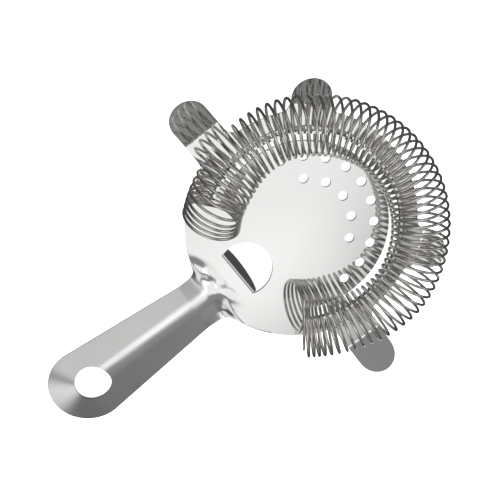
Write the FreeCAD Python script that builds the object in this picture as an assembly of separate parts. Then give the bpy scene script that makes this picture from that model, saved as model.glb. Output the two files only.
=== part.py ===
"""Hawthorne strainer: one formed steel sheet with four prongs, and the coil spring that it carries.

The row frame: +Z is the side that carries the spring and faces into the mixing tin, +X points away
from the handle, and the origin is the centre of the round plate on its spring side. Millimetres.
"""
import FreeCAD, Part
import math
import os

Vec = FreeCAD.Vector
ORIGIN = Vec(0, 0, 0)
UP = Vec(0, 0, 1)

# Sheet and round plate
SHEET = 0.8
RIM_RADIUS = 38.0
SLOT_INNER = 28.3
SLOT_OUTER = 31.2
SLOT_HALF_ANGLE = 125.5
NECK_START_X = -30.0

# Drain holes: rings of (radius, step in degrees, count)
DRAIN_RADIUS = 1.65
DRAIN_RINGS = ((23.4, 18.0, 11), (16.0, 27.0, 5))

# D-shaped window and the thumb tab folded out of it
WINDOW_EDGE_X = -26.4
WINDOW_CENTRE_X = -23.2
WINDOW_CENTRE_Y = 0.6
WINDOW_RADIUS = 9.0
TAB_BEND_RADIUS = 0.5
TAB_LEAN = 5.0

# Upstanding flange along the slot, with one gate for each turn of wire
FLANGE_HEIGHT = 3.2
FLANGE_HALF_ANGLE = 124.4
GATE_WIDTH = 1.16
GATE_HEIGHT = 2.72

# Prongs
PRONG_HALF_WIDTH = 6.3
PRONG_BASE_HALF_WIDTH = 6.9
PRONG_TIP_RISE = 22.0
PRONG_BEND_RADIUS = 2.0
PRONG_FILLET = 4.0
SIDE_PRONG_BASE = Vec(-6.2, 0, 0)
SIDE_PRONG_ANGLE = 91.0
SIDE_PRONG_TIP = 51.0
SIDE_PRONG_BEND = 44.4
FRONT_PRONG_ANGLE = 50.5
FRONT_PRONG_TIP = 42.0
FRONT_PRONG_BEND = 39.6

# Handle: an arched sheet with two flat flanks and a round crown
HANDLE_START_X = -44.0
HANDLE_START_HALF_WIDTH = 8.9
HANDLE_END = Vec(-88.7, -0.6, 0)
HANDLE_END_RADIUS = 13.4
HANDLE_DROOP = 3.8
FLANK_SLOPE = 20.0
CROWN_RADIUS = 10.0
CROWN_Y = 1.0
NECK_FILLET_LEFT = 3.8
NECK_FILLET_RIGHT = 5.4
HANG_HOLE_X = -86.4
HANG_HOLE_RADIUS = 6.1
WIDE = 30.0

# Coil spring
WIRE_DIAMETER = 0.9
LOOP_RADIUS = 9.0
WIRE_TO_PLATE = 0.05
RING_RADIUS_FRONT = 35.75
RING_RADIUS_END = 31.4
RING_SIDE_SHIFT = 0.5
RING_BLEND_START = 65.0
RING_BLEND_END = 125.0
ANCHOR_RADIUS = (SLOT_OUTER + SLOT_OUTER + SHEET) / 2
TURN_STEP = 4.0
SPAN_TURNS = 5
SPAN_COUNT = 10
END_TURNS = 9.2
END_STEP = 2.5
END_EASE_TURNS = 2.0
END_LEAN_LEFT = 0.36
END_LEAN_RIGHT = 0.2
END_LEAN_TURNS = 6.0
POINTS_PER_TURN = 20
SPAN_GAP_TURNS = 0.0015

MID_TURNS = SPAN_TURNS * SPAN_COUNT
MID_HALF_ANGLE = TURN_STEP * MID_TURNS / 2
COIL_HEIGHT = LOOP_RADIUS + WIRE_DIAMETER / 2 + WIRE_TO_PLATE


def save(name, shape):
    """Write one node as STEP."""
    shape.exportStep("parts/%s.step" % name)


def polar(radius, degrees, height=0.0):
    """The point at a radius and an azimuth."""
    angle = math.radians(degrees)
    return Vec(radius * math.cos(angle), radius * math.sin(angle), height)


def disc(radius, bottom, height, centre=ORIGIN):
    """An upright cylinder between two levels."""
    return Part.makeCylinder(radius, height, Vec(centre.x, centre.y, bottom), UP)


def ring_sector(inner, outer, bottom, height, half_angle):
    """A part of a flat ring, symmetrical about +X."""
    base = Vec(0, 0, bottom)
    sector = Part.makeCylinder(outer, height, base, UP, 2 * half_angle)
    sector = sector.cut(Part.makeCylinder(inner, height, base, UP, 2 * half_angle))
    sector.rotate(ORIGIN, UP, -half_angle)
    return sector


def prism(points, bottom, height):
    """An upright prism on a polygon of (x, y) points."""
    corners = [Vec(x, y, bottom) for x, y in points]
    face = Part.Face(Part.makePolygon(corners + [corners[0]]))
    return face.extrude(Vec(0, 0, height))


def slab(low_x, high_x):
    """A tall box between two X planes, wider and taller than the whole part."""
    return Part.makeBox(high_x - low_x, 8 * WIDE, 4 * WIDE, Vec(low_x, -4 * WIDE, -2 * WIDE))


def fillet_upright(shape, radius, places):
    """Round the upright edges that stand nearest to the given places."""
    upright = [e for e in shape.Edges if abs(e.tangentAt(e.FirstParameter).z) > 0.99]
    chosen = []
    for place in places:
        chosen.append(min(upright, key=lambda e: (e.CenterOfMass - place).Length))
    return shape.makeFillet(radius, chosen)


# Round plate ---------------------------------------------------------------------------------

def drain_holes():
    """The two rings of drain holes."""
    holes = []
    for radius, step, count in DRAIN_RINGS:
        for index in range(count):
            place = polar(radius, (index - (count - 1) / 2) * step)
            holes.append(disc(DRAIN_RADIUS, -2 * SHEET, 3 * SHEET, place))
    return holes


def d_prism(centre_x, cut_x, bottom, height):
    """The D outline: a circle cut straight at one X."""
    centre = Vec(centre_x, WINDOW_CENTRE_Y, 0)
    return disc(WINDOW_RADIUS, bottom, height, centre).cut(slab(cut_x - 2 * WIDE, cut_x))


def strainer_disc():
    """The perforated plate with its back part, which reaches the rim beside the neck."""
    plate = disc(RIM_RADIUS, -SHEET, SHEET)
    plate = plate.cut(ring_sector(SLOT_INNER, RIM_RADIUS + 1, -SHEET, SHEET, SLOT_HALF_ANGLE))
    plate = plate.cut(slab(-2 * RIM_RADIUS, NECK_START_X))
    for hole in drain_holes():
        plate = plate.cut(hole)
    return plate.cut(d_prism(WINDOW_CENTRE_X, WINDOW_EDGE_X, -2 * SHEET, 3 * SHEET))


def rim_band():
    """The outer band between the slot and the rim, which the coil lies on."""
    return ring_sector(SLOT_OUTER, RIM_RADIUS, -SHEET, SHEET, SLOT_HALF_ANGLE)


def spring_flange():
    """The lip folded up along the slot, with a gate for each turn."""
    flange = ring_sector(SLOT_OUTER, SLOT_OUTER + SHEET, 0, FLANGE_HEIGHT, FLANGE_HALF_ANGLE)
    gate = Part.makeBox(4 * SHEET, GATE_WIDTH, GATE_HEIGHT + SHEET,
                        Vec(SLOT_OUTER - SHEET, -GATE_WIDTH / 2, -SHEET))
    gates = []
    for turn in range(-int(END_TURNS), int(MID_TURNS + END_TURNS) + 1):
        azimuth = turn_azimuth(turn)
        if abs(azimuth) < FLANGE_HALF_ANGLE:
            copy = gate.copy()
            copy.rotate(ORIGIN, UP, azimuth)
            gates.append(copy)
    return flange.cut(gates)


def thumb_tab():
    """The D turned down round a bend at the window's straight edge."""
    turn = math.radians(90 - TAB_LEAN)
    across = Vec(0, 1, 0)
    inset = WINDOW_CENTRE_X - WINDOW_EDGE_X
    half_chord = math.sqrt(WINDOW_RADIUS ** 2 - inset ** 2)
    centre = Vec(WINDOW_EDGE_X, WINDOW_CENTRE_Y - half_chord, -SHEET - TAB_BEND_RADIUS)
    outer = TAB_BEND_RADIUS + SHEET
    bend = Part.makeCylinder(outer, 2 * half_chord, centre, across, 90 - TAB_LEAN)
    bend = bend.cut(Part.makeCylinder(TAB_BEND_RADIUS, 2 * half_chord, centre, across, 90 - TAB_LEAN))
    used = turn * (TAB_BEND_RADIUS + SHEET / 2)
    flat = d_prism(inset - used, 0, -SHEET, SHEET)
    flat.rotate(ORIGIN, across, 90 - TAB_LEAN)
    bend_end = Vec(math.sin(turn), 0, math.cos(turn)) * outer
    flat.translate(Vec(centre.x, 0, centre.z) + bend_end)
    return flat.fuse(bend).removeSplitter()


# Prongs --------------------------------------------------------------------------------------

def prong_profile(bend, length):
    """The sheet seen from the side along +X: flat, then bent up past the bend line."""
    rise = math.radians(PRONG_TIP_RISE)
    centre = Vec(bend, 0, PRONG_BEND_RADIUS)
    outer_radius = PRONG_BEND_RADIUS + SHEET
    along = Vec(math.cos(rise), 0, math.sin(rise))
    down = Vec(math.sin(rise), 0, -math.cos(rise))
    half_down = Vec(math.sin(rise / 2), 0, -math.cos(rise / 2))
    top_start = Vec(0, 0, 0)
    top_bend = Vec(bend, 0, 0)
    top_end = centre + down * PRONG_BEND_RADIUS
    low_bend = Vec(bend, 0, -SHEET)
    low_end = centre + down * outer_radius
    tip_top = top_end + along * length
    tip_low = low_end + along * length
    low_start = Vec(0, 0, -SHEET)
    edges = [
        Part.makeLine(top_start, top_bend),
        Part.Arc(top_bend, centre + half_down * PRONG_BEND_RADIUS, top_end).toShape(),
        Part.makeLine(top_end, tip_top),
        Part.makeLine(tip_top, tip_low),
        Part.makeLine(tip_low, low_end),
        Part.Arc(low_end, centre + half_down * outer_radius, low_bend).toShape(),
        Part.makeLine(low_bend, low_start),
        Part.makeLine(low_start, top_start),
    ]
    return Part.Face(Part.Wire(edges))


def prong(base, azimuth, tip, bend):
    """One prong along its own azimuth, with flared roots where it leaves the rim."""
    sheet = prong_profile(bend, 2 * WIDE)
    sheet.translate(Vec(0, -WIDE, 0))
    sheet = sheet.extrude(Vec(0, 2 * WIDE, 0))
    outline = prism([(0, -PRONG_BASE_HALF_WIDTH), (tip, -PRONG_HALF_WIDTH),
                     (tip, PRONG_HALF_WIDTH), (0, PRONG_BASE_HALF_WIDTH)], -WIDE, 2 * WIDE)
    outline = outline.fuse(disc(PRONG_HALF_WIDTH, -WIDE, 2 * WIDE, Vec(tip, 0, 0)))
    for shape in (sheet, outline):
        shape.rotate(ORIGIN, UP, azimuth)
        shape.translate(base)
    plate = disc(RIM_RADIUS, -WIDE, 2 * WIDE)
    outline = outline.fuse(plate).removeSplitter()
    outward = polar(1, azimuth)
    sideways = polar(PRONG_HALF_WIDTH, azimuth + 90)
    root = base + outward * (RIM_RADIUS - (base * outward))
    outline = fillet_upright(outline, PRONG_FILLET, [root + sideways, root - sideways])
    return sheet.common(outline).cut(plate)


# Handle --------------------------------------------------------------------------------------

def arch_wire(x, slope_degrees, top):
    """The sheet's section across the handle at x: flank, crown and flank, top and underside."""
    slope = math.radians(slope_degrees)
    crown_y = CROWN_RADIUS * math.sin(slope)
    crown_drop = CROWN_RADIUS * (1 - math.cos(slope))
    edge_drop = crown_drop + (WIDE - crown_y) * math.tan(slope)

    def side(level):
        points = [Vec(x, CROWN_Y + y, level - drop) for y, drop in (
            (-WIDE, edge_drop), (-crown_y, crown_drop), (0, 0), (crown_y, crown_drop), (WIDE, edge_drop))]
        return points

    over = side(top)
    under = side(top - SHEET / math.cos(slope))
    edges = [
        Part.makeLine(over[0], over[1]),
        Part.Arc(over[1], over[2], over[3]).toShape(),
        Part.makeLine(over[3], over[4]),
        Part.makeLine(over[4], under[4]),
        Part.makeLine(under[4], under[3]),
        Part.Arc(under[3], under[2], under[1]).toShape(),
        Part.makeLine(under[1], under[0]),
        Part.makeLine(under[0], over[0]),
    ]
    return Part.Wire(edges)


def handle_outline():
    """The paddle outline in plan, from the neck to the round end."""
    wide = Vec(0, HANDLE_END_RADIUS, 0)
    narrow = Vec(0, HANDLE_START_HALF_WIDTH, 0)
    start = Vec(HANDLE_START_X, 0, 0)
    corners = [start - narrow, HANDLE_END - wide, HANDLE_END + wide, start + narrow]
    outline = prism([(corner.x, corner.y) for corner in corners], -2 * WIDE, 4 * WIDE)
    return outline.fuse(disc(HANDLE_END_RADIUS, -2 * WIDE, 4 * WIDE, HANDLE_END)).removeSplitter()


def end_cone():
    """The handle's section turned half round about the paddle end's centre."""
    slope = math.radians(FLANK_SLOPE)
    crown_y = CROWN_RADIUS * math.sin(slope)
    crown_drop = CROWN_RADIUS * (1 - math.cos(slope))
    half_y = CROWN_RADIUS * math.sin(slope / 2)
    half_drop = CROWN_RADIUS * (1 - math.cos(slope / 2))
    edge_drop = crown_drop + (WIDE - crown_y) * math.tan(slope)
    down = Vec(0, 0, -SHEET / math.cos(slope))
    top = [Vec(HANDLE_END.x, CROWN_Y + y, -drop) for y, drop in (
        (0, 0), (half_y, half_drop), (crown_y, crown_drop), (WIDE, edge_drop))]
    low = [point + down for point in top]
    edges = [
        Part.Arc(top[0], top[1], top[2]).toShape(),
        Part.makeLine(top[2], top[3]),
        Part.makeLine(top[3], low[3]),
        Part.makeLine(low[3], low[2]),
        Part.Arc(low[2], low[1], low[0]).toShape(),
        Part.makeLine(low[0], top[0]),
    ]
    return Part.Face(Part.Wire(edges)).revolve(Vec(HANDLE_END.x, CROWN_Y, 0), UP, 180)


def handle():
    """The arched paddle with its round, coned end and its hanging hole."""
    start = HANDLE_START_X + WIRE_DIAMETER
    arch = Part.Face(arch_wire(start, FLANK_SLOPE, 0)).extrude(Vec(HANDLE_END.x - start, 0, 0))
    sheet = arch.fuse(end_cone()).removeSplitter()
    sheet.rotate(Vec(HANDLE_START_X, 0, 0), Vec(0, 1, 0), -HANDLE_DROOP)
    body = sheet.common(handle_outline())
    return body.cut(disc(HANG_HOLE_RADIUS, -WIDE, 2 * WIDE, Vec(HANG_HOLE_X, 0, 0)))


def neck():
    """The transition from the flat plate to the arched handle, with filleted sides."""
    flat = arch_wire(NECK_START_X, 0.5, 0)
    arched = arch_wire(HANDLE_START_X, FLANK_SLOPE, 0)
    sheet = Part.makeLoft([flat, arched], True, True)
    strip = prism([(0, -HANDLE_START_HALF_WIDTH), (HANDLE_START_X, -HANDLE_START_HALF_WIDTH),
                   (HANDLE_START_X, HANDLE_START_HALF_WIDTH), (0, HANDLE_START_HALF_WIDTH)],
                  -2 * WIDE, 4 * WIDE)
    outline = disc(RIM_RADIUS, -2 * WIDE, 4 * WIDE).fuse(strip).removeSplitter()
    corner_x = -math.sqrt(RIM_RADIUS ** 2 - HANDLE_START_HALF_WIDTH ** 2)
    for side, radius in ((1, NECK_FILLET_LEFT), (-1, NECK_FILLET_RIGHT)):
        corner = Vec(corner_x, side * HANDLE_START_HALF_WIDTH, 0)
        outline = fillet_upright(outline, radius, [corner])
    return sheet.common(outline.common(slab(HANDLE_START_X, NECK_START_X)))


# Coil spring ---------------------------------------------------------------------------------

def turns_past(turn):
    """How many turns a turn lies beyond the evenly spaced ones."""
    return max(0.0, turn - MID_TURNS, -turn)


def turn_azimuth(turn):
    """The azimuth of the wire after a number of turns, counted from the first even turn."""
    past = turns_past(turn)
    side = 1 if turn > MID_TURNS / 2 else -1
    middle = -MID_HALF_ANGLE + TURN_STEP * min(max(turn, 0), MID_TURNS)
    eased = END_EASE_TURNS * (1 - math.exp(-past / END_EASE_TURNS))
    return middle + side * (END_STEP * past + (TURN_STEP - END_STEP) * eased)


def smooth(value):
    """An eased step between 0 and 1."""
    value = min(max(value, 0.0), 1.0)
    return value * value * (3 - 2 * value)


def ring_radius(azimuth):
    """The radius of the coil's centre line, smaller towards both ends."""
    share = smooth((RING_BLEND_END - abs(azimuth)) / (RING_BLEND_END - RING_BLEND_START))
    shift = RING_SIDE_SHIFT * math.sin(math.radians(azimuth))
    return RING_RADIUS_END + (RING_RADIUS_FRONT - RING_RADIUS_END - shift) * share


def wire_point(turn):
    """A point on the wire's centre line; whole turns lie in the flange's gates."""
    azimuth = turn_azimuth(turn)
    centre = ring_radius(azimuth)
    anchor = math.pi + math.acos((centre - ANCHOR_RADIUS) / LOOP_RADIUS)
    angle = anchor - 2 * math.pi * turn
    rise = LOOP_RADIUS * (math.sin(angle) - math.sin(anchor))
    most = END_LEAN_LEFT if azimuth > 0 else -END_LEAN_RIGHT
    lean = most * smooth(turns_past(turn) / END_LEAN_TURNS) * rise
    height = COIL_HEIGHT + LOOP_RADIUS * math.sin(angle)
    point = polar(centre + LOOP_RADIUS * math.cos(angle), azimuth, height)
    return point + polar(lean, azimuth + 90)


def coil_span(first, last):
    """The wire between two turn counts as one solid."""
    count = max(2, round((last - first) * POINTS_PER_TURN))
    points = [wire_point(first + (last - first) * i / count) for i in range(count + 1)]
    curve = Part.BSplineCurve()
    curve.interpolate(points)
    start = Part.Circle(points[0], curve.tangent(curve.FirstParameter)[0], WIRE_DIAMETER / 2)
    profile = Part.Wire(start.toShape())
    solid = Part.Wire(curve.toShape()).makePipeShell([profile], True, True)
    wanted = curve.length() * math.pi * WIRE_DIAMETER ** 2 / 4
    print("span %.1f to %.1f: volume ratio %.4f" % (first, last, solid.Volume / wanted))
    return solid


def coil_spans():
    """Every span by node name: two tight ends and the even spans between them."""
    spans = {"coil_end_right": (-END_TURNS, -SPAN_GAP_TURNS)}
    for index in range(SPAN_COUNT):
        first = index * SPAN_TURNS + SPAN_GAP_TURNS
        last = (index + 1) * SPAN_TURNS - SPAN_GAP_TURNS
        spans["coil_span_%02d" % (index + 1)] = (first, last)
    spans["coil_end_left"] = (MID_TURNS + SPAN_GAP_TURNS, MID_TURNS + END_TURNS)
    return spans


def main():
    """Build and save every node."""
    os.makedirs("parts", exist_ok=True)
    save("strainer_disc", strainer_disc())
    save("rim_band", rim_band())
    save("spring_flange", spring_flange())
    save("thumb_tab", thumb_tab())
    save("neck", neck())
    save("handle", handle())
    for side, mirror in (("left", 1), ("right", -1)):
        save("side_prong_" + side,
             prong(SIDE_PRONG_BASE, mirror * SIDE_PRONG_ANGLE, SIDE_PRONG_TIP, SIDE_PRONG_BEND))
        save("front_prong_" + side,
             prong(ORIGIN, mirror * FRONT_PRONG_ANGLE, FRONT_PRONG_TIP, FRONT_PRONG_BEND))
    for name, (first, last) in coil_spans().items():
        save(name, coil_span(first, last))


main()
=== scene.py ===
"""Looks for the hawthorne strainer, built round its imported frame.

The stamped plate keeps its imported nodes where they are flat. The handle with its neck, the rim with
its gated flange, and every span of the coil are modelled here as smooth pieces that stand for their
nodes. Lengths are in millimetres until a mesh is made, and +Z is the side that carries the spring.
"""

import logging
import math
from dataclasses import dataclass
from enum import Enum
from typing import Callable, Sequence

import bpy
from mathutils import Matrix, Vector

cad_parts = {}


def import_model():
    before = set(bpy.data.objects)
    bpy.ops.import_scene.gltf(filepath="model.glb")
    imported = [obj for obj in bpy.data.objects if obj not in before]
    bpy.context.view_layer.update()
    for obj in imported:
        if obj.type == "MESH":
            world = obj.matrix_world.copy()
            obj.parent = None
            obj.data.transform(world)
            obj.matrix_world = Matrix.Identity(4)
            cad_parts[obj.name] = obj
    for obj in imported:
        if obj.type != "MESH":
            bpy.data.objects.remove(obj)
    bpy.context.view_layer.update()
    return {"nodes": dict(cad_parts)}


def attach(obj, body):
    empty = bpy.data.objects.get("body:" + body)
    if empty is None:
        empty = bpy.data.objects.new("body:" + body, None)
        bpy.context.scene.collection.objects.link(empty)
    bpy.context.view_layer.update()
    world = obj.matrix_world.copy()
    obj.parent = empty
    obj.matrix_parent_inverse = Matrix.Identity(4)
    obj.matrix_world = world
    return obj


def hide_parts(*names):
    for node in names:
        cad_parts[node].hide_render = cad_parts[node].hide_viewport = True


LOG = logging.getLogger("strainer")
MM = 0.001
STRAINER = "strainer"

Point = tuple[float, float, float]
Colour = tuple[float, float, float, float]


# Shapes --------------------------------------------------------------------------------------


@dataclass(frozen=True)
class SpringSpec:
    """The coil spring: its wire, its turns and the ring that they are bent into."""

    wire_radius: float = 0.45
    loop_radius: float = 9.0
    centre_height: float = 9.5
    anchor_radius: float = 31.6
    front_ring: float = 35.75
    end_ring: float = 31.4
    side_shift: float = 0.5
    blend_start: float = 65.0
    blend_end: float = 125.0
    turn_step: float = 4.0
    span_turns: int = 5
    span_count: int = 10
    end_turns: float = 9.2
    end_step: float = 2.5
    ease_turns: float = 2.0
    lean_left: float = 0.36
    lean_right: float = 0.2
    lean_turns: float = 6.0
    gap_turns: float = 0.0015
    steps_per_turn: int = 48

    @property
    def mid_turns(self) -> int:
        """Turns between the two tight ends."""
        return self.span_turns * self.span_count

    def azimuth(self, turn: float) -> float:
        """The azimuth reached after a number of turns.

        Args:
            turn: Turns counted from the first evenly spaced one.

        Returns:
            The azimuth in degrees, zero at the front.
        """
        past = self._past(turn)
        side = 1 if turn > self.mid_turns / 2 else -1
        inside = min(max(turn, 0.0), float(self.mid_turns))
        even = self.turn_step * (inside - self.mid_turns / 2)
        eased = self.ease_turns * (1 - math.exp(-past / self.ease_turns))
        return even + side * (self.end_step * past + (self.turn_step - self.end_step) * eased)

    def ring(self, azimuth: float) -> float:
        """The radius of the ring's centre line at an azimuth."""
        share = smooth((self.blend_end - abs(azimuth)) / (self.blend_end - self.blend_start))
        shift = self.side_shift * math.sin(math.radians(azimuth))
        return self.end_ring + (self.front_ring - self.end_ring - shift) * share

    def point(self, turn: float) -> Point:
        """A point on the wire's centre line.

        Args:
            turn: Turns counted from the first evenly spaced one. Whole turns lie in the gates.

        Returns:
            The point in millimetres.
        """
        azimuth = self.azimuth(turn)
        centre = self.ring(azimuth)
        anchor = math.pi + math.acos((centre - self.anchor_radius) / self.loop_radius)
        angle = anchor - 2 * math.pi * turn
        height = self.centre_height + self.loop_radius * math.sin(angle)
        rise = height - self.centre_height - self.loop_radius * math.sin(anchor)
        most = self.lean_left if azimuth > 0 else -self.lean_right
        lean = most * smooth(self._past(turn) / self.lean_turns) * rise
        radius = centre + self.loop_radius * math.cos(angle)
        bearing = math.radians(azimuth)
        return (
            radius * math.cos(bearing) - lean * math.sin(bearing),
            radius * math.sin(bearing) + lean * math.cos(bearing),
            height,
        )

    def _past(self, turn: float) -> float:
        """How many turns a turn lies beyond the evenly spaced ones."""
        return max(0.0, turn - self.mid_turns, -turn)


@dataclass(frozen=True)
class SheetSpec:
    """The stamped sheet's flat outline, slot and flange."""

    thickness: float = 0.8
    rim_radius: float = 38.0
    slot_half_angle: float = 125.5
    flange_radius: float = 32.0
    flange_height: float = 3.2
    flange_half_angle: float = 124.4
    bend_radius: float = 1.4
    gate_half_width: float = 0.58
    gate_low: float = 0.08
    gate_high: float = 2.72


@dataclass(frozen=True)
class HandleSpec:
    """The arched handle and its neck."""

    start_x: float = -30.0
    narrow_x: float = -44.0
    end_x: float = -88.7
    end_y: float = -0.6
    narrow_half: float = 8.9
    end_half: float = 13.4
    fillet_left: float = 3.8
    fillet_right: float = 5.4
    crown: float = 10.0
    crown_y: float = 1.0
    slope: float = 20.0
    droop: float = 3.8
    hole_x: float = -86.4
    hole_radius: float = 6.1
    nose_x: float = -31.5
    fold_shift: float = 3.4
    fold_from: float = 1.0
    fold_width: float = 9.0
    arch_x: float = -39.0
    arch_reach: float = 8.2
    arch_ease: float = 2.0
    calm_width: float = 1.0
    lip_x: float = -38.2
    lip_reach: float = 4.2
    lip_width: float = 3.0
    edge_bevel: float = 0.32


@dataclass(frozen=True)
class DentSpec:
    """One soft bump or hollow that the press leaves in the neck."""

    x: float
    y: float
    bearing: float
    length: float
    width: float
    height: float

    def rise(self, along: float, side: float) -> float:
        """How much this dent raises the surface at a place."""
        turn = math.radians(self.bearing)
        right, ahead = along - self.x, side - self.y
        on_axis = right * math.cos(turn) + ahead * math.sin(turn)
        off_axis = ahead * math.cos(turn) - right * math.sin(turn)
        return self.height * bell(on_axis, self.length) * bell(off_axis, self.width)


DENTS = (
    DentSpec(-37.0, 7.0, 90.0, 4.4, 1.3, 0.30),
    DentSpec(-34.6, 11.5, 108.0, 4.6, 1.9, -0.34),
    DentSpec(-33.4, 7.2, 80.0, 1.9, 0.9, 0.14),
    DentSpec(-34.0, 3.2, 60.0, 2.4, 0.8, -0.12),
    DentSpec(-31.9, 1.6, 40.0, 1.7, 1.4, 0.10),
    DentSpec(-33.4, -3.4, 115.0, 3.6, 1.2, 0.13),
    DentSpec(-31.2, -2.6, 115.0, 3.2, 0.8, -0.05),
    DentSpec(-36.6, -5.0, 110.0, 4.2, 1.0, -0.12),
)


def smooth(value: float) -> float:
    """An eased step between 0 and 1."""
    clamped = min(max(value, 0.0), 1.0)
    return clamped * clamped * (3 - 2 * clamped)


def bell(offset: float, width: float) -> float:
    """A soft bump of height 1 that is about two widths across."""
    return math.exp(-((offset / width) ** 2))


# Materials -----------------------------------------------------------------------------------


@dataclass(frozen=True)
class Finish:
    """How one metal surface looks."""

    name: str
    colour: Colour
    roughness: float
    roughness_spread: float
    grain_scale: tuple[float, float, float]
    grain_strength: float
    wave_strength: float
    polish_range: tuple[float, float] | None = None


PLATE = Finish("polished_plate", (0.86, 0.86, 0.85, 1), 0.06, 0.02, (900, 900, 900), 0.01, 0.02)
HANDLE = Finish(
    "satin_handle", PLATE.colour, 0.19, 0.06, (60, 1500, 1500), 0.06, 0.01, (-41.0, -35.0)
)
WIRE = Finish("spring_wire", (0.83, 0.81, 0.78, 1), 0.14, 0.04, (400, 400, 400), 0.03, 0.03)


class GroupBuilder:
    """Makes the node groups that the metals share."""

    def __init__(self) -> None:
        """Start with no groups made."""
        self._grain: bpy.types.NodeTree | None = None

    def grain(self) -> bpy.types.NodeTree:
        """The group that turns a grain scale into a fine mask and a broad mask."""
        if self._grain is None:
            self._grain = self._make_grain()
        return self._grain

    @staticmethod
    def _make_grain() -> bpy.types.NodeTree:
        """Build the grain group."""
        tree = bpy.data.node_groups.new("metal_grain", "ShaderNodeTree")
        tree.interface.new_socket("Grain", in_out="INPUT", socket_type="NodeSocketVector")
        tree.interface.new_socket("Fine", in_out="OUTPUT", socket_type="NodeSocketFloat")
        tree.interface.new_socket("Broad", in_out="OUTPUT", socket_type="NodeSocketFloat")
        nodes, links = tree.nodes, tree.links
        source = nodes.new("NodeGroupInput")
        sink = nodes.new("NodeGroupOutput")
        place = nodes.new("ShaderNodeTexCoord")
        stretch = nodes.new("ShaderNodeVectorMath")
        stretch.operation = "MULTIPLY"
        fine = nodes.new("ShaderNodeTexNoise")
        fine.inputs["Scale"].default_value = 1.0
        fine.inputs["Detail"].default_value = 5.0
        broad = nodes.new("ShaderNodeTexNoise")
        broad.inputs["Scale"].default_value = 55.0
        broad.inputs["Detail"].default_value = 2.0
        links.new(place.outputs["Object"], stretch.inputs[0])
        links.new(source.outputs["Grain"], stretch.inputs[1])
        links.new(stretch.outputs[0], fine.inputs["Vector"])
        links.new(place.outputs["Object"], broad.inputs["Vector"])
        links.new(fine.outputs["Fac"], sink.inputs["Fine"])
        links.new(broad.outputs["Fac"], sink.inputs["Broad"])
        return tree


class MaterialLibrary:
    """Makes each finish once and hands it out."""

    def __init__(self) -> None:
        """Start with an empty library."""
        self._groups = GroupBuilder()
        self._made: dict[str, bpy.types.Material] = {}

    def metal(self, finish: Finish) -> bpy.types.Material:
        """The material for a finish.

        Args:
            finish: The look to build.

        Returns:
            A material whose bump and roughness come from procedural grain.
        """
        if finish.name not in self._made:
            self._made[finish.name] = self._build(finish)
        return self._made[finish.name]

    def _build(self, finish: Finish) -> bpy.types.Material:
        """Build one metal."""
        material = bpy.data.materials.new(finish.name)
        material.use_nodes = True
        nodes, links = material.node_tree.nodes, material.node_tree.links
        shader = nodes["Principled BSDF"]
        shader.inputs["Base Color"].default_value = finish.colour
        shader.inputs["Metallic"].default_value = 1.0
        grain = nodes.new("ShaderNodeGroup")
        grain.node_tree = self._groups.grain()
        grain.inputs["Grain"].default_value = finish.grain_scale
        spread = nodes.new("ShaderNodeMapRange")
        spread.inputs["From Min"].default_value = 0.3
        spread.inputs["From Max"].default_value = 0.7
        spread.inputs["To Min"].default_value = finish.roughness - finish.roughness_spread
        spread.inputs["To Max"].default_value = finish.roughness + finish.roughness_spread
        fine = nodes.new("ShaderNodeBump")
        fine.inputs["Strength"].default_value = finish.grain_strength
        fine.inputs["Distance"].default_value = 0.1 * MM
        broad = nodes.new("ShaderNodeBump")
        broad.inputs["Strength"].default_value = finish.wave_strength
        broad.inputs["Distance"].default_value = 0.3 * MM
        rough = spread.outputs["Result"]
        if finish.polish_range:
            rough = self._polish(nodes, links, finish.polish_range, rough)
        links.new(grain.outputs["Broad"], spread.inputs["Value"])
        links.new(rough, shader.inputs["Roughness"])
        links.new(grain.outputs["Fine"], fine.inputs["Height"])
        links.new(grain.outputs["Broad"], broad.inputs["Height"])
        links.new(fine.outputs["Normal"], broad.inputs["Normal"])
        links.new(broad.outputs["Normal"], shader.inputs["Normal"])
        return material

    @staticmethod
    def _polish(nodes, links, reach: tuple[float, float], rough):
        """Blend a roughness to the plate's polish along X.

        Args:
            nodes: The material's nodes.
            links: The material's links.
            reach: The X positions where the polish starts and where it is complete.
            rough: The socket with the unpolished roughness.

        Returns:
            The socket with the blended roughness.
        """
        place = nodes.new("ShaderNodeTexCoord")
        axes = nodes.new("ShaderNodeSeparateXYZ")
        ease = nodes.new("ShaderNodeMapRange")
        ease.interpolation_type = "SMOOTHSTEP"
        ease.inputs["From Min"].default_value = reach[0] * MM
        ease.inputs["From Max"].default_value = reach[1] * MM
        blend = nodes.new("ShaderNodeMix")
        blend.data_type = "FLOAT"
        blend.inputs["B"].default_value = PLATE.roughness
        links.new(place.outputs["Object"], axes.inputs[0])
        links.new(axes.outputs["X"], ease.inputs["Value"])
        links.new(ease.outputs["Result"], blend.inputs["Factor"])
        links.new(rough, blend.inputs["A"])
        return blend.outputs["Result"]


# Modelling -----------------------------------------------------------------------------------


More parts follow.
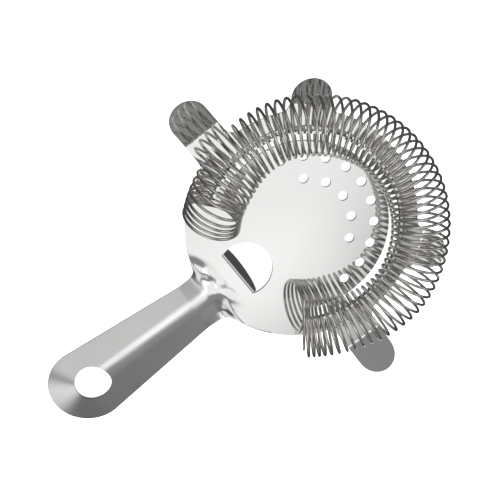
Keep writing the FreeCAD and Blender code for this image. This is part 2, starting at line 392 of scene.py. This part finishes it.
class Workbench:
    """Adds and finishes pieces with the same operators that a person would use."""

    @staticmethod
    def clear_selection() -> None:
        """Deselect every object."""
        bpy.ops.object.select_all(action="DESELECT")

    @classmethod
    def pick(cls, piece: bpy.types.Object) -> None:
        """Select one piece alone and make it active."""
        cls.clear_selection()
        piece.select_set(True)
        bpy.context.view_layer.objects.active = piece

    @classmethod
    def grid(cls, name: str, columns: int, rows: int) -> bpy.types.Object:
        """Add a flat grid whose vertices run row by row.

        Args:
            name: The new piece's name.
            columns: Vertices along the first direction.
            rows: Vertices along the second direction.

        Returns:
            The grid, ready to be shaped.
        """
        cls.clear_selection()
        bpy.ops.mesh.primitive_grid_add(
            x_subdivisions=columns - 1, y_subdivisions=rows - 1, size=2 * MM
        )
        piece = bpy.context.active_object
        piece.name = name
        piece.data.name = name
        return piece

    @classmethod
    def apply(cls, piece: bpy.types.Object, kind: str, **settings: object) -> None:
        """Add a modifier, set it up and apply it.

        Args:
            piece: The piece to change.
            kind: The modifier's type.
            **settings: The modifier's properties.
        """
        cls.pick(piece)
        modifier = piece.modifiers.new(kind.lower(), kind)
        for key, value in settings.items():
            setattr(modifier, key, value)
        bpy.ops.object.modifier_apply(modifier=modifier.name)

    @classmethod
    def smooth(cls, piece: bpy.types.Object, degrees: float) -> None:
        """Shade smooth up to an angle."""
        cls.pick(piece)
        bpy.ops.object.shade_smooth_by_angle(angle=math.radians(degrees))

    @classmethod
    def face_outward(cls, piece: bpy.types.Object) -> None:
        """Turn every face of a closed piece outward."""
        cls.pick(piece)
        bpy.ops.object.mode_set(mode="EDIT")
        bpy.ops.mesh.select_all(action="SELECT")
        bpy.ops.mesh.normals_make_consistent(inside=False)
        bpy.ops.object.mode_set(mode="OBJECT")

    @classmethod
    def cut(cls, piece: bpy.types.Object, cutter: bpy.types.Object) -> None:
        """Cut one piece with another and throw the cutter away."""
        cls.apply(piece, "BOOLEAN", object=cutter, operation="DIFFERENCE", solver="EXACT")
        bpy.data.objects.remove(cutter)


class Builder:
    """What every piece builder shares."""

    def __init__(self, materials: MaterialLibrary) -> None:
        """Keep the material library."""
        self.materials = materials

    def place(
        self, piece: bpy.types.Object, finish: Finish, body: str, slot: str, nodes: Sequence[str]
    ) -> None:
        """Give a finished piece its material, body and nodes.

        Args:
            piece: The finished piece.
            finish: Its look.
            body: The CAD body it rides on.
            slot: The record's material slot; not used.
            nodes: The CAD nodes it stands for.
        """
        piece.data.materials.clear()
        piece.data.materials.append(self.materials.metal(finish))
        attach(piece, body)
        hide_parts(*nodes)
        LOG.info("%s rides on %s with %d faces", piece.name, body, len(piece.data.polygons))


class SpringBuilder(Builder):
    """Builds the coil as one tube for each span."""

    ROUNDNESS = 3
    SMOOTH_UNDER = 60

    def __init__(self, materials: MaterialLibrary, spec: SpringSpec) -> None:
        """Keep the spring's dimensions."""
        super().__init__(materials)
        self.spec = spec

    def build(self) -> None:
        """Build every span."""
        spec = self.spec
        self._span("coil_end_right", STRAINER, -spec.end_turns, -spec.gap_turns)
        for index in range(spec.span_count):
            first = index * spec.span_turns + spec.gap_turns
            last = (index + 1) * spec.span_turns - spec.gap_turns
            number = f"{index + 1:02d}"
            self._span(f"coil_span_{number}", f"coil_{number}", first, last)
        last = spec.mid_turns + spec.end_turns
        self._span("coil_end_left", STRAINER, spec.mid_turns + spec.gap_turns, last)

    def _span(self, node: str, body: str, first: float, last: float) -> None:
        """Build one span as a wire that follows the spring's own curve.

        Args:
            node: The CAD node it stands for.
            body: The CAD body it rides on.
            first: Where it starts, in turns.
            last: Where it ends, in turns.
        """
        count = math.ceil((last - first) * self.spec.steps_per_turn)
        Workbench.clear_selection()
        bpy.ops.curve.primitive_nurbs_path_add()
        path = bpy.context.active_object
        path.name = f"wire_{node}"
        curve = path.data
        curve.splines.clear()
        spline = curve.splines.new("POLY")
        spline.points.add(count)
        for index, knot in enumerate(spline.points):
            place = self.spec.point(first + (last - first) * index / count)
            knot.co = (*(value * MM for value in place), 1.0)
        curve.bevel_depth = self.spec.wire_radius * MM
        curve.bevel_resolution = self.ROUNDNESS
        curve.use_fill_caps = True
        Workbench.pick(path)
        bpy.ops.object.convert(target="MESH")
        wire = bpy.context.active_object
        Workbench.smooth(wire, self.SMOOTH_UNDER)
        self.place(wire, WIRE, body, "spring_wire", [node])


class RimBuilder(Builder):
    """Builds the rim band with the gated flange folded up from it."""

    BEND_STEPS = 8
    SMOOTH_UNDER = 35

    def __init__(self, materials: MaterialLibrary, sheet: SheetSpec, spring: SpringSpec) -> None:
        """Keep the dimensions of the sheet and of the spring that its gates hold."""
        super().__init__(materials)
        self.sheet = sheet
        self.spring = spring

    def build(self) -> None:
        """Build the rim and its flange."""
        bearings = self._bearings()
        profile = self._profile()
        piece = Workbench.grid("rim_with_flange", len(bearings), len(profile))
        across = len(bearings)
        for vertex in piece.data.vertices:
            row, column = divmod(vertex.index, across)
            radius, height = profile[row]
            bearing = math.radians(bearings[column][0])
            vertex.co = Vector(
                (radius * math.cos(bearing), radius * math.sin(bearing), height)
            ) * MM
        self._open_gates(piece, bearings, profile)
        self._thicken(piece)
        self.place(piece, PLATE, STRAINER, "plate_steel", ["rim_band", "spring_flange"])

    def _bearings(self) -> list[tuple[float, float]]:
        """Each column's azimuth, and how high the opening between it and the next is."""
        sheet = self.sheet
        half = math.degrees(sheet.gate_half_width / self.spring.anchor_radius)
        ends = int(self.spring.end_turns)
        columns = [(-sheet.slot_half_angle, sheet.flange_height), (-sheet.flange_half_angle, 0.0)]
        for turn in range(-ends, self.spring.mid_turns + ends + 1):
            middle = self.spring.azimuth(turn)
            if abs(middle) < sheet.flange_half_angle:
                columns += [(middle - half, sheet.gate_high), (middle + half, 0.0)]
        columns += [(sheet.flange_half_angle, sheet.flange_height), (sheet.slot_half_angle, 0.0)]
        return columns

    def _profile(self) -> list[tuple[float, float]]:
        """The sheet's upper surface from the rim to the flange's edge, as (radius, height)."""
        sheet = self.sheet
        centre = sheet.flange_radius + sheet.bend_radius
        flat = (sheet.rim_radius, sheet.rim_radius - 2, centre + 0.6)
        points = [(radius, 0.0) for radius in flat]
        for step in range(self.BEND_STEPS + 1):
            angle = math.pi / 2 * step / self.BEND_STEPS
            points.append(
                (
                    centre - sheet.bend_radius * math.sin(angle),
                    sheet.bend_radius * (1 - math.cos(angle)),
                )
            )
        points += [(sheet.flange_radius, sheet.gate_high), (sheet.flange_radius, sheet.flange_height)]
        return points

    def _open_gates(
        self,
        piece: bpy.types.Object,
        bearings: list[tuple[float, float]],
        profile: list[tuple[float, float]],
    ) -> None:
        """Delete the faces where each gate is, and where the flange has ended."""
        across = len(bearings)
        Workbench.pick(piece)
        bpy.ops.object.mode_set(mode="EDIT")
        bpy.ops.mesh.select_mode(type="FACE")
        bpy.ops.mesh.select_all(action="DESELECT")
        bpy.ops.object.mode_set(mode="OBJECT")
        for face in piece.data.polygons:
            row, column = divmod(min(face.vertices), across)
            height = (profile[row][1] + profile[row + 1][1]) / 2
            face.select = self.sheet.gate_low < height < bearings[column][1]
        bpy.ops.object.mode_set(mode="EDIT")
        bpy.ops.mesh.delete(type="FACE")
        bpy.ops.object.mode_set(mode="OBJECT")

    def _thicken(self, piece: bpy.types.Object) -> None:
        """Give the surface the sheet's thickness, away from the spring."""
        upward = piece.data.polygons[0].normal.z > 0
        offset = -1.0 if upward else 1.0
        Workbench.apply(
            piece, "SOLIDIFY", thickness=self.sheet.thickness * MM, offset=offset, use_even_offset=True
        )
        Workbench.face_outward(piece)
        Workbench.smooth(piece, self.SMOOTH_UNDER)


class HandleBuilder(Builder):
    """Builds the neck and the arched handle as one continuous sheet."""

    LENGTH_STEPS = 230
    ROUND_STEPS = 40
    WIDTH_STEPS = 61
    LAST_STEP = 0.995
    OVERLAP = 0.5
    BEVEL_FROM = 50
    SMOOTH_UNDER = 40

    def __init__(self, materials: MaterialLibrary, spec: HandleSpec, sheet: SheetSpec) -> None:
        """Keep the handle's and the sheet's dimensions."""
        super().__init__(materials)
        self.spec = spec
        self.sheet = sheet

    def build(self) -> None:
        """Build the handle."""
        stations = self._stations()
        piece = Workbench.grid("handle_shell", len(stations), self.WIDTH_STEPS)
        across = len(stations)
        last = self.WIDTH_STEPS - 1
        for vertex in piece.data.vertices:
            row, column = divmod(vertex.index, across)
            along = stations[column]
            right, left = self.edges(along)
            side = right + (left - right) * row / last
            vertex.co = Vector((along, side, self.height(along, side))) * MM
        upward = piece.data.polygons[0].normal.z > 0
        Workbench.apply(
            piece,
            "SOLIDIFY",
            thickness=self.sheet.thickness * MM,
            offset=-1.0 if upward else 1.0,
        )
        Workbench.face_outward(piece)
        Workbench.apply(
            piece,
            "BEVEL",
            width=self.spec.edge_bevel * MM,
            segments=2,
            limit_method="ANGLE",
            angle_limit=math.radians(self.BEVEL_FROM),
        )
        self._trim(piece)
        self._drill(piece)
        Workbench.smooth(piece, self.SMOOTH_UNDER)
        self.place(piece, HANDLE, STRAINER, "handle_steel", ["neck", "handle"])

    def edges(self, along: float) -> tuple[float, float]:
        """The outline's right and left edges at a distance along the handle.

        Args:
            along: The X position.

        Returns:
            The two Y positions, right then left.
        """
        spec = self.spec
        share = min(max((spec.narrow_x - along) / (spec.narrow_x - spec.end_x), 0.0), 1.0)
        middle = spec.end_y * share
        if along < spec.end_x:
            reach = spec.end_x - along
            half = math.sqrt(max(spec.end_half**2 - reach**2, 0.0))
            return middle - half, middle + half
        if along < spec.narrow_x:
            half = spec.narrow_half + (spec.end_half - spec.narrow_half) * share
            return middle - half, middle + half
        return -self._neck_half(along, spec.fillet_right), self._neck_half(along, spec.fillet_left)

    def _neck_half(self, along: float, fillet: float) -> float:
        """The neck's half width where it flares into the rim through a fillet."""
        spec, rim = self.spec, self.sheet.rim_radius
        centre_y = spec.narrow_half + fillet
        centre_x = -math.sqrt((rim + fillet) ** 2 - centre_y**2)
        if along > centre_x * rim / (rim + fillet):
            return math.sqrt(rim**2 - along**2)
        if along > centre_x:
            return centre_y - math.sqrt(fillet**2 - (along - centre_x) ** 2)
        return spec.narrow_half

    def height(self, along: float, side: float) -> float:
        """The upper surface's height.

        Args:
            along: The X position.
            side: The Y position.

        Returns:
            The Z position of the upper surface.
        """
        spec = self.spec
        offset = side - spec.crown_y
        away = math.hypot(offset, max(spec.end_x - along, 0.0))
        if along > spec.narrow_x:
            away = self._flattened(away)
        if offset < 0:
            away -= self._lip(along, side)
        start = spec.nose_x - spec.fold_shift * smooth((abs(offset) - spec.fold_from) / spec.fold_width)
        share = smooth((start - along) / (start - spec.arch_x))
        sag = max(spec.narrow_x - along, 0.0) * math.tan(math.radians(spec.droop))
        calm = smooth((spec.start_x - along) / spec.calm_width)
        dents = sum(dent.rise(along, side) for dent in DENTS)
        return dents * calm - self._drop(away) * share - sag

    def _flattened(self, away: float) -> float:
        """A distance from the ridge that levels off where the neck widens."""
        reach, ease = self.spec.arch_reach, self.spec.arch_ease
        return away if away < reach else reach + ease * math.tanh((away - reach) / ease)

    def _lip(self, along: float, side: float) -> float:
        """How much of the right flank is flattened into a lip beside the neck."""
        spec = self.spec
        start = self.edges(along)[0] + spec.lip_width
        return max(start - side, 0.0) * bell(along - spec.lip_x, spec.lip_reach)

    def _drop(self, offset: float) -> float:
        """How far the arch falls at a distance from its ridge."""
        slope = math.radians(self.spec.slope)
        edge = self.spec.crown * math.sin(slope)
        if offset < edge:
            return self.spec.crown - math.sqrt(self.spec.crown**2 - offset**2)
        return self.spec.crown * (1 - math.cos(slope)) + (offset - edge) * math.tan(slope)

    def _stations(self) -> list[float]:
        """X positions along the handle, closer together at the round end."""
        spec = self.spec
        first = spec.start_x + self.OVERLAP
        pitch = (first - spec.end_x) / self.LENGTH_STEPS
        places = [first - pitch * step for step in range(self.LENGTH_STEPS)]
        for step in range(self.ROUND_STEPS + 1):
            angle = math.pi / 2 * min(step / self.ROUND_STEPS, self.LAST_STEP)
            places.append(spec.end_x - spec.end_half * math.sin(angle))
        return places

    def _trim(self, piece: bpy.types.Object) -> None:
        """Cut the sheet square where it meets the strainer plate."""
        size = 100
        middle = self.spec.start_x + size / 2
        Workbench.clear_selection()
        bpy.ops.mesh.primitive_cube_add(size=size * MM, location=(middle * MM, 0, 0))
        block = bpy.context.active_object
        bpy.ops.object.transform_apply(location=True, rotation=True, scale=True)
        Workbench.cut(piece, block)

    def _drill(self, piece: bpy.types.Object) -> None:
        """Cut the hanging hole."""
        spec = self.spec
        Workbench.clear_selection()
        bpy.ops.mesh.primitive_cylinder_add(
            vertices=96,
            radius=spec.hole_radius * MM,
            depth=30 * MM,
            location=(spec.hole_x * MM, 0, 0),
        )
        drill = bpy.context.active_object
        bpy.ops.object.transform_apply(location=True, rotation=True, scale=True)
        Workbench.cut(piece, drill)


# Studio --------------------------------------------------------------------------------------


@dataclass(frozen=True)
class CameraSpec:
    """Where the camera stands, what it looks at and the bearing that is up in its view."""

    place: Point = (9.31, 131.76, 327.29)
    aim: Point = (-18.05, 4.82, 0.0)
    up_bearing: float = 53.09
    lens: float = 79.2


@dataclass(frozen=True)
class GlowSpec:
    """One soft patch of the studio's surround, seen from the object."""

    name: str
    bearing: float
    tilt: float
    inner: float
    outer: float
    level: float


GLOWS = (
    GlowSpec("main_softbox", -112.0, 12.0, 10.0, 19.0, 0.70),
    GlowSpec("softbox_core", -102.0, 26.0, 1.0, 7.0, 0.12),
    GlowSpec("side_glow", 150.0, 30.0, 8.0, 24.0, 0.38),
    GlowSpec("end_glow", -160.0, 54.0, 8.0, 24.0, 0.62),
    GlowSpec("ridge_glow", -172.0, 18.0, 6.0, 14.0, 0.50),
    GlowSpec("back_glow", 80.0, 52.0, 8.0, 26.0, 0.55),
    GlowSpec("front_glow", -90.0, 80.0, 5.0, 25.0, 0.20),
    GlowSpec("right_glow", -30.0, 60.0, 10.0, 28.0, 0.50),
)


class Studio:
    """The camera, the surround, the lamps and the floor."""

    SURROUND_LOW = 0.07
    SURROUND_HIGH = 0.26
    FLOOR_GLOW = 0.85
    FLOOR_HEIGHT = -12.2
    FLOOR_SIZE = 6
    FLOOR_STEPS = 8
    LAMP_HEIGHT = 0.9
    LAMP_SIZE = 1.6
    LAMP_POWER = 14.0

    def build(self) -> None:
        """Set up everything round the object."""
        bpy.context.scene.view_settings.view_transform = "Standard"
        self._camera(CameraSpec())
        self._surround()
        self._lamp()
        self._floor()

    @staticmethod
    def _camera(spec: CameraSpec) -> None:
        """Add the camera."""
        place, aim = Vector(spec.place) * MM, Vector(spec.aim) * MM
        back = (place - aim).normalized()
        bearing = math.radians(spec.up_bearing)
        hint = Vector((math.cos(bearing), math.sin(bearing), 0))
        right = hint.cross(back).normalized()
        up = back.cross(right)
        turn = Matrix((right, up, back)).transposed()
        bpy.ops.object.camera_add(location=place, rotation=turn.to_euler())
        camera = bpy.context.active_object
        camera.data.lens = spec.lens
        camera.data.sensor_width = 36.0
        camera.data.clip_start = 0.01
        bpy.context.scene.camera = camera

    def _surround(self) -> None:
        """Make the world: an even grey with soft bright patches."""
        world = bpy.data.worlds.new("studio")
        bpy.context.scene.world = world
        world.use_nodes = True
        nodes, links = world.node_tree.nodes, world.node_tree.links
        sky = nodes["Background"]
        place = nodes.new("ShaderNodeTexCoord")
        total = None
        for glow in GLOWS:
            mask = self._patch(nodes, links, place.outputs["Generated"], glow)
            total = mask if total is None else self._sum(nodes, links, total, mask)
        axes = nodes.new("ShaderNodeSeparateXYZ")
        base = nodes.new("ShaderNodeMapRange")
        base.interpolation_type = "SMOOTHSTEP"
        base.inputs["From Min"].default_value = -0.1
        base.inputs["From Max"].default_value = 0.8
        base.inputs["To Min"].default_value = self.SURROUND_LOW
        base.inputs["To Max"].default_value = self.SURROUND_HIGH
        links.new(place.outputs["Generated"], axes.inputs[0])
        links.new(axes.outputs["Z"], base.inputs["Value"])
        total = self._sum(nodes, links, total, base.outputs["Result"])
        links.new(total, sky.inputs["Strength"])
        sky.inputs["Color"].default_value = (1, 1, 1, 1)

    @staticmethod
    def _patch(nodes, links, direction, glow: GlowSpec):
        """A round soft patch as a strength.

        Args:
            nodes: The world's nodes.
            links: The world's links.
            direction: The socket that gives the direction looked in.
            glow: The patch.

        Returns:
            The socket that gives the patch's strength.
        """
        bearing, tilt = math.radians(glow.bearing), math.radians(glow.tilt)
        dot = nodes.new("ShaderNodeVectorMath")
        dot.operation = "DOT_PRODUCT"
        dot.inputs[1].default_value = (
            math.sin(tilt) * math.cos(bearing),
            math.sin(tilt) * math.sin(bearing),
            math.cos(tilt),
        )
        ease = nodes.new("ShaderNodeMapRange")
        ease.interpolation_type = "SMOOTHSTEP"
        ease.inputs["From Min"].default_value = math.cos(math.radians(glow.outer))
        ease.inputs["From Max"].default_value = math.cos(math.radians(glow.inner))
        ease.inputs["To Max"].default_value = glow.level
        links.new(direction, dot.inputs[0])
        links.new(dot.outputs["Value"], ease.inputs["Value"])
        return ease.outputs["Result"]

    @staticmethod
    def _sum(nodes, links, first, second):
        """The sum of two strengths."""
        add = nodes.new("ShaderNodeMath")
        add.operation = "ADD"
        links.new(first, add.inputs[0])
        links.new(second, add.inputs[1])
        return add.outputs[0]

    def _lamp(self) -> None:
        """Add a wide overhead lamp that lights the floor evenly."""
        bpy.ops.object.light_add(type="AREA", location=(0, 0, self.LAMP_HEIGHT))
        lamp = bpy.context.active_object
        lamp.data.shape = "DISK"
        lamp.data.size = self.LAMP_SIZE
        lamp.data.energy = self.LAMP_POWER
        lamp.visible_glossy = False

    def _floor(self) -> None:
        """Add the pale floor."""
        Workbench.clear_selection()
        bpy.ops.mesh.primitive_grid_add(
            x_subdivisions=self.FLOOR_STEPS,
            y_subdivisions=self.FLOOR_STEPS,
            size=self.FLOOR_SIZE,
            location=(0, 0, self.FLOOR_HEIGHT * MM),
        )
        floor = bpy.context.active_object
        floor.name = "floor"
        material = bpy.data.materials.new("pale_floor")
        material.use_nodes = True
        nodes, links = material.node_tree.nodes, material.node_tree.links
        shader = nodes["Principled BSDF"]
        place = nodes.new("ShaderNodeTexCoord")
        noise = nodes.new("ShaderNodeTexNoise")
        noise.inputs["Scale"].default_value = 30.0
        ramp = nodes.new("ShaderNodeMapRange")
        ramp.inputs["To Min"].default_value = 0.55
        ramp.inputs["To Max"].default_value = 0.65
        links.new(place.outputs["Object"], noise.inputs["Vector"])
        links.new(noise.outputs["Fac"], ramp.inputs["Value"])
        links.new(ramp.outputs["Result"], shader.inputs["Roughness"])
        shader.inputs["Base Color"].default_value = (0.92, 0.92, 0.92, 1)
        shader.inputs["Specular IOR Level"].default_value = 0.1
        shader.inputs["Emission Color"].default_value = (1, 1, 1, 1)
        shader.inputs["Emission Strength"].default_value = self.FLOOR_GLOW
        floor.visible_glossy = False
        floor.data.materials.append(material)


# Assembly ------------------------------------------------------------------------------------


class Kept(Enum):
    """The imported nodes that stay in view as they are."""

    DISC = "strainer_disc"
    TAB = "thumb_tab"
    SIDE_LEFT = "side_prong_left"
    SIDE_RIGHT = "side_prong_right"
    FRONT_LEFT = "front_prong_left"
    FRONT_RIGHT = "front_prong_right"


class Strainer:
    """The whole strainer."""

    def __init__(self, nodes: dict[str, bpy.types.Object]) -> None:
        """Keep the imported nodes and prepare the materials."""
        self.nodes = nodes
        self.materials = MaterialLibrary()

    def build(self) -> None:
        """Finish the kept nodes and build the new pieces."""
        for kept in Kept:
            node = self.nodes[kept.value]
            node.data.materials.clear()
            node.data.materials.append(self.materials.metal(PLATE))
        sheet, spring = SheetSpec(), SpringSpec()
        SpringBuilder(self.materials, spring).build()
        RimBuilder(self.materials, sheet, spring).build()
        HandleBuilder(self.materials, HandleSpec(), sheet).build()


def main() -> None:
    """Build the scene."""
    logging.basicConfig(level=logging.INFO)
    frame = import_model()
    Strainer(frame["nodes"]).build()
    Studio().build()


if __name__ == "__main__":
    main()
